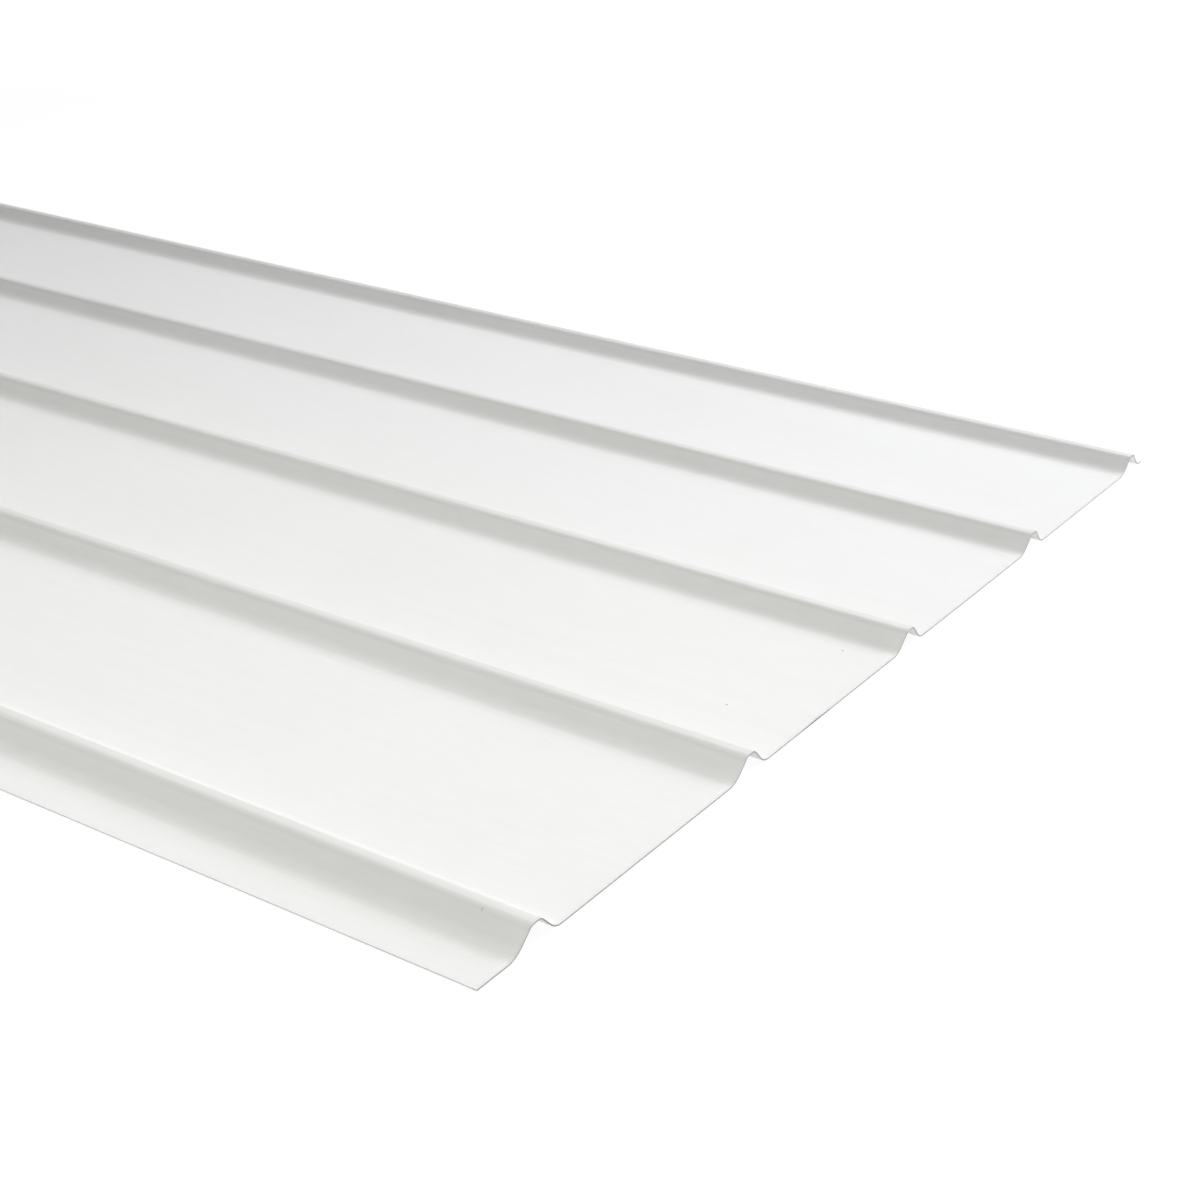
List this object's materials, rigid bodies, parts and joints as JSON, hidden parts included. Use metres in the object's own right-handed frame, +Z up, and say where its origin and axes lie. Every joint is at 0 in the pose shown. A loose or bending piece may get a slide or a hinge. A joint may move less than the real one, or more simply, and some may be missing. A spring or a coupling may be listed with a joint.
{
  "type": "ribbed fiberglass roofing sheet",
  "caption": "Long opal glass-fibre roofing sheet with low rounded trapezoid ribs between wide flat pans, a bearing lip along one side and a short lip along the other.",
  "frame": {"origin": "middle of the sheet's outline, in the plane of the pans' underside", "axes": "+X along the ribs, +Y across them from the bearing lip to the cover lip, +Z up out of the crests"},
  "size_m": [2.4384, 0.995, 0.0143],
  "materials": {
    "opal_laminate": "smooth gel coat, soft gloss, slightly translucent opal white"
  },
  "bodies": {
    "root": {"roofing_sheet": "opal_laminate"}
  },
  "joints": []
}
